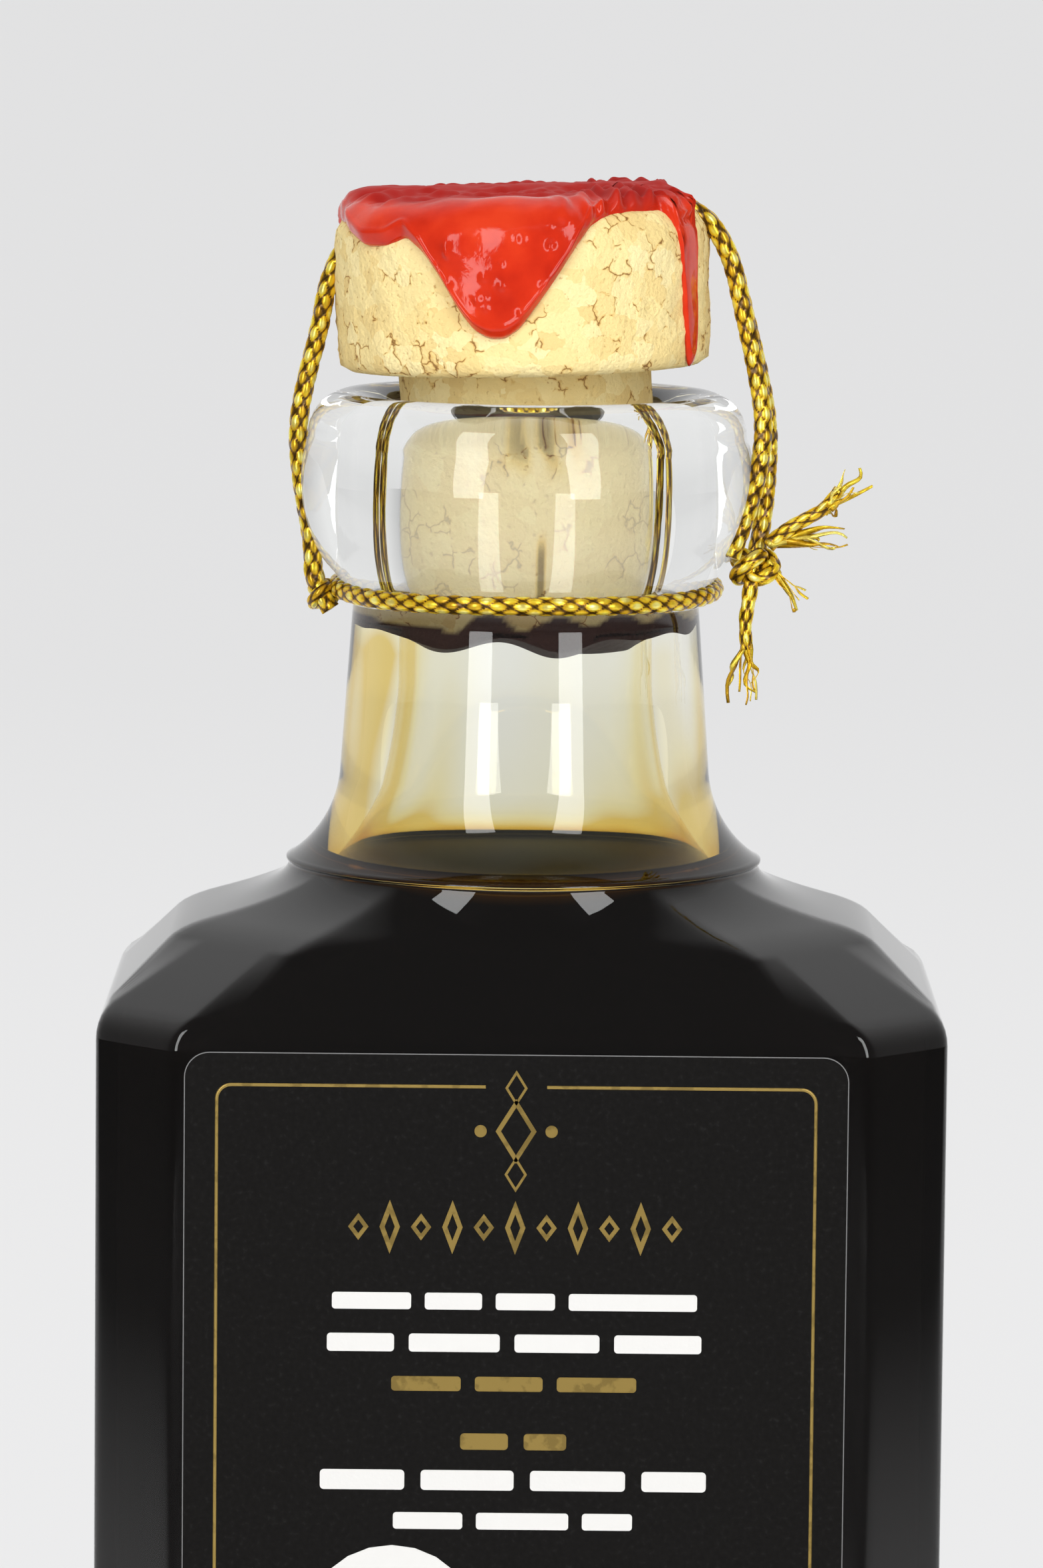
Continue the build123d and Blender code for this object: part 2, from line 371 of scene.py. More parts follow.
# %% The outside and the inside, ring by ring
wall, foot, head_leg = 2.8, 2.2, 9.7   # the wall, the foot's bevel, the corner cut at the shoulder
crease_radius, inner_crease, bore = 17.75, 14.95, 9.6
neck_low, neck_high = (13.95, 6.8), (13.0, 20.3)   # radius and height above the crease
collar, lip = (16.55, 32.3), (14.0, lip_height)
outer = ease([
    [0.01, 0.01, 0, 0, 0, 1.0],
    [body_x - 7.5, body_y - 7.5, corner_leg, 0, 17, 1.0],
    [body_x - 6.6, body_y - 6.6, corner_leg, 0, 17, 0.0],
    [body_x - foot, body_y - foot, corner_leg, 0, 17, 0.0],
    [body_x, body_y, corner_leg, 0, 17, foot],
    [body_x, body_y, corner_leg, 0, 17, crease - 9.9],
    [body_x - 5.9, body_y - 4.7, head_leg, 0, crease_radius, crease - 4.0],
    [crease_radius, crease_radius, 7, 1, crease_radius, crease],
], [1, 0.6, 0.8, 1.2, 1.5, 1.3])
shoulder_rows = np.linspace(outer[-2], outer[-1], 14)[1:-1]
outer = np.vstack([outer[:-1], shoulder_rows])
seam = [(crease_radius, 0), (17.95, 0.1), (17.95, 0.28), (17.6, 0.45)]
flare = bend((17.45, 0.55), 180 - 36, neck_low, 14)
bowl = bend(neck_high, 38, collar, 18)
lip_out = bend(collar, 90, lip, 9)
mouth = bend(lip, 180, (bore, 32.0), 9)
neck_line = np.linspace(neck_low, neck_high, 8)
profile = np.vstack([seam, flare, neck_line[1:], bowl[1:], lip_out[1:], mouth[1:]])
outer = np.vstack([outer, [ring_of(*p) for p in profile]])


def inside(grow):
    """Rings of the inner wall from the bore down to the floor; grow moves them out into the glass."""
    straight = [ring_of(bore + grow, h) for h in np.linspace(31.0, 14.0, 8)]
    swell = [ring_of(r + grow, h) for r, h in bend((bore, 14.0), -90, (inner_crease, -1.6), 18)[1:]]
    round_out = inner_crease + grow
    top = [round_out, round_out, 7, 1, round_out, crease - 1.6]
    low = ease([
        top,
        [body_x - 7.8 + grow, body_y - 6.6 + grow, head_leg, 0, round_out, crease - 6.3 + grow],
        [body_x - wall + grow, body_y - wall + grow, 4.4, 0, 15, crease - 11.1],
        [body_x - wall + grow, body_y - wall + grow, 4.4, 0, 15, 8.0 - grow],
        [body_x - wall - 3 + grow, body_y - wall - 3 + grow, 4.4, 0, 15, 5.5 - grow],
        [0.01, 0.01, 0, 0, 0, 5.5 - grow],
    ], [1.2, 1.5, 1.5, 1.5])
    shoulder = np.linspace(top, low[1], 10)[1:-1]
    return np.vstack([straight, swell, shoulder, low[1:]])


inner = inside(0.0)
print(len(outer), "rings outside,", len(inner), "inside")

# %% [markdown]
# Vinegar has wetted the neck from inside and left a yellow film, thicker low down,
# at one side and in streaks. It is worked out here for each point and stored.

# %% The skin of glass and its film
rings = np.vstack([outer, inner])
glass_points = skin(rings)
above = glass_points[..., 2] - crease
streaks = ripple(glass_points * [1, 1, 0.35], 7.0, 5)
film = 0.62 - above / 60 + 0.15 * streaks + 0.9 * np.exp(-np.maximum(above, 0) / 2.8)
film += 0.7 * np.exp(-((glass_points[..., 0] + 11) / 2.2) ** 2) * np.clip((above - 6) / 12, 0, 1)
wetted = np.clip(film, 0, 1.4) * np.clip((20 - above) / 3, 0, 1) * np.clip((above + 0.6) / 0.6, 0, 1)
bottle = surface("bottle_skin", glass_points, clear_glass, attribute=wetted)
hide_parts("bottle_glass")

# %% [markdown]
# ## The vinegar
# The drink reaches a little way into the wall, because a gap of air between
# drink and glass would show as a silver skin. Its top curls up at the glass.

# %% The drink up to its level
level, curl = -0.7, 0.7   # the drink's level from the crease, and how far it climbs the glass
sink = 0.15               # how far it reaches into the wall
drink_rings = inside(sink)
drink_rings = drink_rings[drink_rings[:, 5] < crease + level - 0.05]
brim = drink_rings[0][4]
meniscus = [ring_of(brim * k, level + curl * k ** 14)
            for k in (0.01, 0.3, 0.6, 0.8, 0.9, 0.95, 0.98, 1.0)]
drink_points = skin(np.vstack([meniscus, drink_rings]))
below = crease - drink_points[..., 2]
off_x, off_y = np.abs(drink_points[..., 0]), np.abs(drink_points[..., 1])
# Orange-brown where the vinegar is thin, along the shoulder's corner lines and in a ring where it meets the
# glass: partly its own colour, partly painted light shining through it.
crease_line = 12.0 + 1.35 * (below - 0.5)
thin_amber_light = np.exp(-((off_x - crease_line) / 0.9) ** 2) * (off_y > 8)
thin_amber_light = thin_amber_light * np.clip(1 - np.abs(below - 2.0) / 2.2, 0, 1)
thin_amber_light = thin_amber_light * (0.55 + 0.35 * ripple(drink_points, 1.6, 9))
thin_amber_light = thin_amber_light + np.clip(1 - np.abs(below - 0.75) / 0.35, 0, 1) * 0.8 * (np.hypot(off_x, off_y) > 13.6)
drink = surface("vinegar_fill", drink_points, dark_vinegar, attribute=np.clip(thin_amber_light, 0, 1))
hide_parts("vinegar")

# %% [markdown]
# ## Pressed cork
# The stopper is granules of bark glued together: tan crumbs, each a slightly
# different colour, with dark pits between some of them. The shape is a turned
# profile, pushed in where the crumbs have broken away. The end that faces the
# drink hangs in the air above it, and is soaked nearly black all the same.

# %% Cork finish
def make_cork():
    """Crumbs are bent Voronoi cells; their edges, the pits and small hollows darken them in turn, the
    hollows partly by their own dark colour, partly by painted shade.
    """
    material, nodes, links, shader = finish("pressed cork", (0.78, 0.58, 0.34), 0.85)
    where = nodes.new("ShaderNodeTexCoord")
    swirl = nodes.new("ShaderNodeTexNoise")
    swirl.inputs["Scale"].default_value = 900
    links.new(where.outputs["Object"], swirl.inputs["Vector"])
    bent = nodes.new("ShaderNodeVectorMath")
    bent.operation = "MULTIPLY_ADD"
    bent.inputs[1].default_value = (0.0013, 0.0013, 0.0013)
    links.new(swirl.outputs["Color"], bent.inputs[0])
    links.new(where.outputs["Object"], bent.inputs[2])
    cells, edges = nodes.new("ShaderNodeTexVoronoi"), nodes.new("ShaderNodeTexVoronoi")
    edges.feature = "DISTANCE_TO_EDGE"
    for cell in (cells, edges):
        cell.inputs["Scale"].default_value = 640
        links.new(bent.outputs[0], cell.inputs["Vector"])
    crumbs = ramp(nodes, links, cells.outputs["Color"],
                  [(0.0, (0.80, 0.58, 0.23)), (0.35, (0.86, 0.66, 0.28)),
                   (0.65, (0.90, 0.72, 0.33)), (1.0, (0.95, 0.80, 0.42))])
    pits = add_speckle(nodes, 420, 2600, 7)
    gap = calculate(nodes, links, "MULTIPLY_ADD", edges.outputs["Distance"], 4.2, pits.outputs["Mask"])
    dark = ramp(nodes, links, gap,
                [(0.0, (0.20, 0.10, 0.03)), (0.06, (0.42, 0.26, 0.12)),
                 (0.16, (0.88, 0.78, 0.62)), (0.4, (1, 1, 1))])
    # Darker where the fine noise is low, which is where the bump sinks: partly the holes' own dark colour,
    # partly painted shade in them.
    holes_and_shade = ramp(nodes, links, pits.outputs["Fine"],
                 [(0.0, (0.35, 0.2, 0.1)), (0.27, (0.6, 0.45, 0.3)), (0.36, (1, 1, 1)), (1.0, (1, 1, 1))])
    tone = colour_mix(nodes, links, 0.95, crumbs, dark, "MULTIPLY")
    tone = colour_mix(nodes, links, 0.8, tone, holes_and_shade, "MULTIPLY")
    mark = stored_shade(nodes)   # above nil is soaked, below nil is paler: painted light where the cork shows through the glass of the bore
    painted_bore_light = calculate(nodes, links, "MULTIPLY", mark, -1.0, clamp=True)
    tone = colour_mix(nodes, links, painted_bore_light, tone, (0.98, 0.87, 0.57))
    tone = colour_mix(nodes, links, mark, tone, (0.032, 0.007, 0.004))
    links.new(tone, shader.inputs["Base Color"])
    bump(nodes, links, shader, pits.outputs["Fine"], 0.0003, 0.7)
    return material


pressed_cork = make_cork()
print("made", pressed_cork.name)

# %% [markdown]
# The shape is a profile of radius and height turned once round. The head leans a
# little to one side, the shank stays upright in the bore, and noise pushes the
# side of the head in where crumbs are missing.

# %% Cork profile
head_radius, head_foot, head_top = 14.1, 37.5, 49.8
head_tilt, head_shift = 1.8, -0.3   # degrees, millimetres
shank_radius, cork_columns = 9.5, 220


def lean(points):
    """Turns points about the foot of the head by the stopper's tilt, the right side up."""
    t = math.radians(head_tilt)
    x, z = points[..., 0], points[..., 2] - head_foot
    return np.stack([x * math.cos(t) - z * math.sin(t) + head_shift, points[..., 1],
                     z * math.cos(t) + x * math.sin(t) + head_foot], -1)


def turned(profile, count):
    """A profile of radius and height carried once round the axis."""
    around = np.arange(count) / count * 2 * math.pi
    r, h = np.array(profile)[:, :1], np.array(profile)[:, 1:]
    level = np.broadcast_to(h, (len(r), count))
    return np.stack([r * np.cos(around), r * np.sin(around), level], -1)


def dense(profile, gap):
    """The same profile with points no further apart than gap."""
    out = [np.array(profile[0], float)]
    for a, b in zip(np.array(profile, float), np.array(profile[1:], float)):
        n = max(1, int(np.linalg.norm(b - a) / gap))
        out += [a + (b - a) * k / n for k in range(1, n + 1)]
    return np.array(out)


shank = dense([(0.01, 16.3), (8.6, 16.3), (9.66, 17.0), (9.66, 19.6), (shank_radius, 20.2),
               (shank_radius, 34.0)], 0.4)
head = dense([(shank_radius, 37.0), (9.6, head_foot), (13.2, head_foot), (13.8, 37.9), (13.95, 38.6),
              (head_radius, 46.8), (13.85, 48.0), (13.2, 49.0), (12.2, 49.6), (11.1, head_top),
              (0.01, head_top)], 0.4)
cork_points = np.vstack([turned(shank, cork_columns), lean(turned(head, cork_columns))])
print(len(shank), "rings in the shank,", len(head), "in the head")

# %% [markdown]
# The stored value is the stopper's wetness. Its foot is soaked up to a wavy tide
# line, well above the drink's level, and the side in the bore has damp patches and
# a dark crack. Elsewhere in the bore the value falls below nil, which paints the
# cork paler there: painted light, for how it looks through the glass.

# %% Crumbled sides and soaked patches
outward = cork_points * [1, 1, 0]
outward /= np.linalg.norm(outward, axis=-1, keepdims=True) + 1e-6
crumble = np.clip(ripple(cork_points, 1.3, 21) * ripple(cork_points, 2.6, 22) - 0.9, 0, 1.2)
rough = 0.05 * ripple(cork_points, 0.9, 23) + 0.06 * ripple(cork_points, 3.0, 24)
free = (cork_points[..., 2:] > 35.0) * 1.0
cork_points = cork_points + outward * (free[..., 0] * (rough - 0.30 * crumble))[..., None]
tide = 19.3 + 0.9 * ripple(cork_points, 6.0, 25) + 0.05 * cork_points[..., 0]
soak_and_bore_light = np.clip((tide - cork_points[..., 2]) / 0.5 + 0.5, 0, 1)
soak_and_bore_light = np.maximum(soak_and_bore_light, 0.5 * np.clip((22.0 - cork_points[..., 2]) / 3, 0, 1))
x, y, z = [cork_points[..., k] for k in range(3)]
mottle = np.clip(0.5 + 0.9 * ripple(cork_points * [1, 1, 0.5], 1.6, 27), 0, 1)
patch = 0.5 * np.exp(-((x - 0.8) / 2.6) ** 4 - ((z - 32.6) / 2.6) ** 4)
patch = patch + 0.6 * np.exp(-((np.abs(x) - 8.8) / 0.7) ** 2 - ((z - 29.3) / 2.6) ** 4)
crack = 0.8 * np.exp(-((x - 0.95) / 0.22) ** 2 - ((z - 23.8) / 2.3) ** 6)
crack = crack + 0.6 * np.exp(-((z - 22.0) / 0.25) ** 2 - ((x - 1.0) / 1.7) ** 6)
in_bore = (z > 21) & (z < 34)
# In the bore the value drops by 0.6, below nil where there is no patch: painted light that makes the cork
# paler where it shows through the glass.
soak_and_bore_light = np.where(in_bore, soak_and_bore_light - 0.6 + (patch * mottle + crack) * (y < 0) * 2.2, soak_and_bore_light)
ragged = (cork_points[..., 2] < 17.5) * (0.45 * ripple(cork_points * [1, 1, 0], 7.0, 26) + 0.2)
cork_points[..., 2] += crease + ragged
cork = surface("cork_crumbs", cork_points, pressed_cork, attribute=soak_and_bore_light)
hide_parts("cork_stopper")

# %% [markdown]
# ## Sealing wax
# Wax was poured over the cork and ran. It is a skin that starts at the middle of
# the top and follows the cork outwards and down to a hem, which dips where a run
# set. Near the hem the skin rolls over into a rounded bead.

# %% Wax finish
def make_wax():
    """Glossy and red; duller and deeper where the stored crust is thick."""
    material, nodes, links, shader = finish("red wax", (0.62, 0.030, 0.010), 0.14,
                                            Specular_IOR_Level=0.3)
    mark = stored_shade(nodes)
    links.new(map_range(nodes, links, mark, (0, 1), (0.09, 0.6)), shader.inputs["Roughness"])
    spots = add_speckle(nodes, 260, 900, 3)
    tone = ramp(nodes, links, spots.outputs["Mask"],
                [(0.0, (0.48, 0.018, 0.005)), (0.5, (0.58, 0.027, 0.007)), (1.0, (0.66, 0.042, 0.011))])
    tone = colour_mix(nodes, links, mark, tone, (0.34, 0.008, 0.004))
    links.new(tone, shader.inputs["Base Color"])
    bump(nodes, links, shader, spots.outputs["Fine"], 0.00012, 0.35)
    return material


red_wax = make_wax()
print("made", red_wax.name)

# %% [markdown]
# The hem is drawn as a height for each direction. Each run is a short list of
# points, sideways place and height, and the lowest run wins. At the right edge
# the wax stopped short and the cork's rim is bare.

# %% The hem of the wax
tongue = [(-8.6, 47.9), (-7.2, 46.8), (-5.9, 44.8), (-4.7, 42.6), (-3.6, 41.0), (-2.5, 40.4),
          (-1.3, 40.4), (-0.2, 41.1), (1.1, 42.8), (2.3, 44.4), (4.0, 47.0), (5.4, 48.6),
          (7.5, 49.3), (11.6, 49.5)]
left_lobe = [(-15.5, 48.9), (-13.7, 48.6), (-12.7, 47.9), (-11.3, 47.1), (-9.8, 47.2), (-8.6, 47.9)]
right_run = [(11.5, 49.3), (11.8, 48.4), (11.95, 44.0), (12.0, 38.2), (12.2, 37.5), (12.75, 37.5),
             (12.95, 38.2), (13.0, 44.0), (13.15, 48.6), (13.6, 49.2)]
back_runs = [(-9.0, 2.6, 44.6), (-2.0, 2.0, 46.2), (6.5, 3.4, 42.8)]   # middle, half width, lowest
wax_columns, wax_rows = 720, 96
around = np.arange(wax_columns) / wax_columns * 2 * math.pi
side_x, side_y = head_radius * np.cos(around), head_radius * np.sin(around)


def hem_line():
    """Height of the wax's lower edge along each direction, the lowest of its runs there."""
    hem = np.where(side_y < 0, 49.4, 48.4) + 0.12 * np.sin(5 * around + 1)
    for run in (tongue, left_lobe, right_run):
        x, z = np.array(run).T
        hem = np.where(side_y < 0, np.minimum(hem, np.interp(side_x, x, z, left=60, right=60)), hem)
    for middle, half, foot_at in back_runs:
        dip = 48.4 - (48.4 - foot_at) * np.exp(-((side_x - middle) / half) ** 4)
        hem = np.where(side_y > 0, np.minimum(hem, dip), hem)
    bare = np.exp(-((np.degrees(np.arctan2(side_y, side_x)) - 8) / 24) ** 4)
    hem = hem + (head_top - hem) * bare
    spread = np.exp(-(np.arange(-9, 10) / 3.2) ** 2)
    return np.convolve(np.r_[hem[-9:], hem, hem[:9]], spread / spread.sum(), "valid")


hem = hem_line()
print("hem from", round(hem.min(), 1), "to", round(hem.max(), 1), "mm above the crease")

# %% [markdown]
# A point of the skin is found by how far it has run from the middle of the top:
# out over the flat, round the edge, and down the side to the hem. Its thickness
# there is the pour's, plus lumps, a bead at the hem, bubbles and the bulge over
# the cord.

# %% The skin of the wax
edge_bend = 3.0                     # radius of the cork's rounded edge under the wax
wax_flat = head_radius - edge_bend


def reach_to(hem):
    """Arc length from the middle of the top to the hem: partly round the edge, or round it and down."""
    drop = head_top - hem
    swing = np.arccos(np.clip(1 - drop / edge_bend, 0, 1))
    return wax_flat + edge_bend * swing + np.maximum(drop - edge_bend, 0)


def wax_skin(thickness):
    """Points and crust: the arc over the top and down to the hem, moved out by the thickness there."""
    quarter = edge_bend * math.pi / 2
    whole = reach_to(hem)
    share = np.linspace(0, 1, wax_rows)[:, None] ** 0.8
    run = share * whole[None]
    swing = np.clip((run - wax_flat) / edge_bend, 0, math.pi / 2)
    reach = np.minimum(run, wax_flat) + edge_bend * np.sin(swing)
    drop = edge_bend * (1 - np.cos(swing)) + np.maximum(run - wax_flat - quarter, 0)
    left = np.clip((whole[None] - run) / 1.1, 0, 1)
    bead = np.sqrt(1 - (1 - left) ** 2)
    base = np.stack([reach * np.cos(around), reach * np.sin(around), head_top - drop], -1)
    crumbly = np.clip((base[..., 0] - 1.5) / 4, 0, 1) * (base[..., 2] > 48.2)
    top = np.clip((base[..., 2] - 49.3) / 0.4, 0, 1) * np.clip((base[..., 1] + 10.5) / 3, 0, 1)
    lump = 0.14 * ripple(base, 5.0, 31) + crumbly * (0.28 * ripple(base, 1.5, 32) + 0.1)
    lump = lump + top * (1 - crumbly) * 0.2 * ripple(base, 1.8, 33)
    lump = lump + 0.15 * np.exp(-((base[..., 0] + 11.5) / 2.6) ** 2) * (base[..., 1] < 4)
    rim = 0.25 * np.exp(-((left - 0.75) / 0.25) ** 2)
    over_cord = np.exp(-((base[..., 1] + 0.2) / 2.0) ** 4) * (np.abs(base[..., 0]) < 13.4)
    lump = lump * (1 - 0.8 * over_cord)
    bubble = np.zeros(bead.shape)
    rng = np.random.default_rng(12)
    for _ in range(26):
        turn, size = rng.uniform(math.radians(225), math.radians(282)), rng.uniform(0.22, 0.45)
        spot = [head_radius * math.cos(turn), head_radius * math.sin(turn), rng.uniform(41.5, 48.0)]
        near = ((base - spot) ** 2).sum(-1) / size ** 2
        bubble += rng.choice([-0.16, 0.2]) * np.exp(-near * 1.5)
    ends = np.clip((np.abs(base[..., 0]) - 12.3) / 1.0, 0, 1)
    right = np.clip((base[..., 0] - 10.8) / 0.8, 0, 1)
    thin = (1 - 0.5 * ends) * (1 - 0.6 * right * (base[..., 2] < 48.6) * (base[..., 1] < 0))
    thick = (thickness + lump + rim + 0.55 * over_cord + bubble) * bead * thin
    normal = np.stack([np.sin(swing) * np.cos(around), np.sin(swing) * np.sin(around), np.cos(swing)], -1)
    crusty = np.clip((base[..., 2] - 49.2) / 0.5, 0, 1) * np.clip((base[..., 1] + 12) / 3, 0.2, 1)
    return base + normal * (thick - 0.12)[..., None], crusty


wax_points, wax_crust = wax_skin(0.8)
wax_points = lean(wax_points)
wax_points[..., 2] += crease
underside = dense([(head_radius - 0.6, 47.6), (head_radius - 1.6, 48.6), (0.01, 49.0)], 1.5)
inner_skin = lean(turned(underside, wax_columns))
inner_skin[..., 2] += crease
wax_crust = np.vstack([wax_crust, np.zeros(inner_skin.shape[:2])])
wax = surface("wax_cap", np.vstack([wax_points, inner_skin]), red_wax, attribute=wax_crust)
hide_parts("wax_seal")

# %% [markdown]
# ## Braided cord
# Eight flat strands of foil thread cross over and under. Carried along a path, the
# braid is a tube whose surface rises in a lattice of small cells: each cell is the
# product of two waves that wind opposite ways. The route is the solid's route,
# smoothed by a NURBS curve.

# %% Cord finish
def make_cord():
    """Half metallic; the stored weave colours it from dark gaps to bright crowns: painted shade in the gaps
    and painted highlights on the crowns.
    """
    material, nodes, links, shader = finish("gold cord", (0.85, 0.6, 0.08), 0.25, Metallic=0.5)
    tone = ramp(nodes, links, stored_shade(nodes),
                [(0.0, (0.02, 0.011, 0.002)), (0.25, (0.17, 0.085, 0.006)),
                 (0.45, (0.86, 0.52, 0.015)), (0.75, (1.0, 0.78, 0.05)), (1.0, (1.0, 0.92, 0.28))])
    spots = add_speckle(nodes, 1500, 6000, 5)
    grime = ramp(nodes, links, spots.outputs["Mask"],
                 [(0.0, (0.55, 0.42, 0.25)), (0.5, (0.92, 0.85, 0.7)), (1.0, (1, 1, 1))])
    links.new(colour_mix(nodes, links, 0.6, tone, grime, "MULTIPLY"), shader.inputs["Base Color"])
    return material


gold_cord = make_cord()
print("made", gold_cord.name)

# %% [markdown]
# A braid needs an even path and two directions across it. The directions are
# handed from point to point and turned as little as possible, so that the braid
# doesn't twist where the path bends.

# %% Paths and braids
def smooth_path(points, gap):
    """Evenly spaced points of the NURBS curve that has these control points."""
    curve = bpy.data.curves.new("route", "CURVE")
    curve.dimensions = "3D"
    spline = curve.splines.new("NURBS")
    spline.points.add(len(points) - 1)
    spline.points.foreach_set("co", np.c_[np.array(points, float), np.ones(len(points))].ravel())
    spline.order_u = 3
    spline.use_endpoint_u = True
    spline.resolution_u = 24
    holder = bpy.data.objects.new("route", curve)
    mesh = bpy.data.meshes.new_from_object(holder)
    p = np.zeros(len(mesh.vertices) * 3)
    mesh.vertices.foreach_get("co", p)
    bpy.data.objects.remove(holder)
    bpy.data.curves.remove(curve)
    bpy.data.meshes.remove(mesh)
    p = p.reshape(-1, 3)
    travelled = np.concatenate([[0], np.cumsum(np.linalg.norm(np.diff(p, axis=0), axis=1))])
    marks = np.linspace(0, travelled[-1], max(8, int(travelled[-1] / gap)))
    return np.stack([np.interp(marks, travelled, p[:, k]) for k in range(3)], -1), travelled[-1]


def carried(path, closed=False):
    """Two directions across the path at each point, turned as little as possible from one to the next."""
    along = np.gradient(path, axis=0)
    if closed:
        along = np.roll(path, -1, 0) - np.roll(path, 1, 0)
    along /= np.linalg.norm(along, axis=1, keepdims=True)
    side = np.cross(along[0], [0.0, 0.3, 1.0])
    sides = []
    for t in along:
        side = side - t * (side @ t)
        side /= np.linalg.norm(side)
        sides.append(side)
    sides = np.array(sides)
    return sides, np.cross(along, sides)


def braid(name, path, radius, node=None, closed=False, cell=1.7, taper=0.0):
    """A tube whose surface rises in a lattice: the product of two waves winding opposite ways."""
    count = 32
    sides, ups = carried(path, closed)
    travelled = np.concatenate([[0], np.cumsum(np.linalg.norm(np.diff(path, axis=0), axis=1))])[:, None]
    a = np.arange(count) / count * 2 * math.pi
    one = np.cos(2 * a + math.pi * travelled / cell)
    two = np.cos(2 * a - math.pi * travelled / cell)
    weave = np.abs(one * two) ** 0.6
    a_cell = np.floor((2 * a + math.pi * travelled / cell) / math.pi + 0.5)
    b_cell = np.floor((2 * a - math.pi * travelled / cell) / math.pi + 0.5)
    tone = np.abs(np.sin(12.9898 * np.mod(a_cell, 4) + 78.233 * np.mod(b_cell, 4)
                         + 1.7 * (a_cell - b_cell)))
    r = radius * (0.86 + 0.2 * weave)
    r = r * (1 - taper * travelled / travelled[-1])
    points = path[:, None] + r[..., None] * (np.cos(a)[None, :, None] * sides[:, None]
                                            + np.sin(a)[None, :, None] * ups[:, None])
    # The stored value: painted shade in the gaps between cells and painted highlights on their crowns, with
    # a random tone for each cell.
    shade = np.clip(weave * (0.45 + 0.75 * tone) - 0.02, 0, 1)
    if not closed:
        points = np.vstack([np.repeat(path[:1, None], count, 1), points,
                            np.repeat(path[-1:, None], count, 1)])
        shade = np.vstack([shade[:1], shade, shade[-1:]])
    piece = surface(name, points, gold_cord, ring=closed, attribute=shade)
    if node:
        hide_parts(node)


print("path and braid helpers ready")

# %% [markdown]
# Two strands run up one side, over the cork and down the other, a ring goes round
# the neck under the collar, and a knot joins them. The knot is a small closed
# path that winds twice round while it rises and falls three times.

# %% The two strands over the cork, the ring round the neck and the knot
front_strand = [(-14.7, -1.9, 19.1), (-16.0, -1.6, 21.0), (-16.1, -1.5, 23.0),
                (-16.2, -1.4, 25.2), (-17.0, -1.2, 28.6),
                (-17.35, -1.1, 32.6), (-16.7, -1.0, 36.4), (-15.65, -1.0, 40.2), (-15.1, -1.0, 44.0),
                (-13.0, -0.95, 47.9), (-9.6, -0.9, 49.7), (-3.8, -0.9, 49.9), (2.4, -0.9, 50.1),
                (8.4, -0.9, 50.3), (12.9, -1.0, 49.4), (15.1, -1.1, 46.2), (16.1, -1.3, 41.8),
                (17.1, -1.5, 37.6), (17.85, -1.9, 33.2), (17.3, -3.1, 29.4), (16.3, -4.6, 26.2),
                (15.3, -5.1, 23.6)]
rear_strand = [(-14.8, 0.6, 19.1), (-16.0, 0.6, 21.0), (-16.1, 0.6, 23.0),
               (-16.4, 0.55, 25.2), (-17.05, 0.5, 28.6),
               (-17.4, 0.45, 32.6), (-16.7, 0.5, 36.4), (-15.7, 0.5, 40.2), (-15.1, 0.55, 44.0),
               (-13.0, 0.55, 47.9), (-9.6, 0.6, 49.7), (-3.8, 0.6, 49.9), (2.4, 0.6, 50.1),
               (8.4, 0.6, 50.3), (12.9, 0.5, 49.4), (15.1, 0.4, 46.2), (16.2, 0.3, 41.8),
               (17.3, 0.1, 37.6), (18.2, -0.2, 33.2), (18.1, -0.7, 29.0), (17.7, -1.6, 25.6),
               (17.3, -2.2, 23.6)]
cord_radius, path_gap = 0.7, 0.16


def raised(points):
    """Points whose heights are measured from the crease, in the frame."""
    return np.array(points, float) + [0, 0, crease]


for which, route in (("front", front_strand), ("rear", rear_strand)):
    path, length = smooth_path(raised(route), path_gap)
    braid(f"cord_{which}", path, cord_radius, node=f"tie_cord_{which}_strand")
    print(which, "strand", round(length, 1), "mm")

ring_radius = 14.2
ring_turn = np.linspace(0, 2 * math.pi, 560, endpoint=False)
ring_path = np.stack([ring_radius * np.cos(ring_turn), ring_radius * np.sin(ring_turn),
                      crease + 20.8 + 0.25 * np.sin(ring_turn) + 0.1 * np.sin(3 * ring_turn)], -1)
braid("cord_ring", ring_path, cord_radius, node="tie_cord_ring", closed=True, cell=1.71)

knot_turn = np.linspace(0, 2 * math.pi, 150, endpoint=False)
swell = 0.95 + 0.55 * np.cos(3 * knot_turn)
knot_path = np.array([17.0, -2.9, crease + 22.75]) + np.stack(
    [swell * np.cos(2 * knot_turn), swell * np.sin(2 * knot_turn) * 0.8, 0.85 * np.sin(3 * knot_turn)], -1)
braid("cord_knot", knot_path, 0.62, node="tie_cord_knot", closed=True)

hitch_swell = 0.75 + 0.4 * np.cos(3 * knot_turn)   # where the strands leave the ring, on the left
hitch_path = np.array([-15.35, -0.75, crease + 20.1]) + np.stack(
    [0.7 * hitch_swell * np.cos(2 * knot_turn), 1.3 * hitch_swell * np.sin(2 * knot_turn),
     0.65 * np.sin(3 * knot_turn)], -1)
braid("cord_hitch", hitch_path, 0.52, closed=True)

# %% [markdown]
# The cut ends of the cord have come apart. Each is a short braid that thins out,
# then a spray of flat foil threads. A thread is a narrow ribbon along a curve that
# starts in the cord and wanders off.

# %% Tails and frayed threads
upper_tail = [(18.2, -3.1, 24.4), (19.5, -3.5, 25.6), (21.1, -3.8, 26.5), (22.5, -4.0, 27.3),
              (23.4, -4.1, 28.7)]
lower_tail = [(16.9, -3.6, 21.6), (16.7, -3.9, 20.0), (16.4, -4.1, 18.4), (16.6, -4.2, 16.6)]
for which, route in (("upper", upper_tail), ("lower", lower_tail)):
    path, length = smooth_path(raised(route), path_gap)
    braid(f"cord_{which}_tail", path, 0.6, node=f"tie_cord_{which}_tail", taper=0.25)
    print(which, "tail", round(length, 1), "mm")


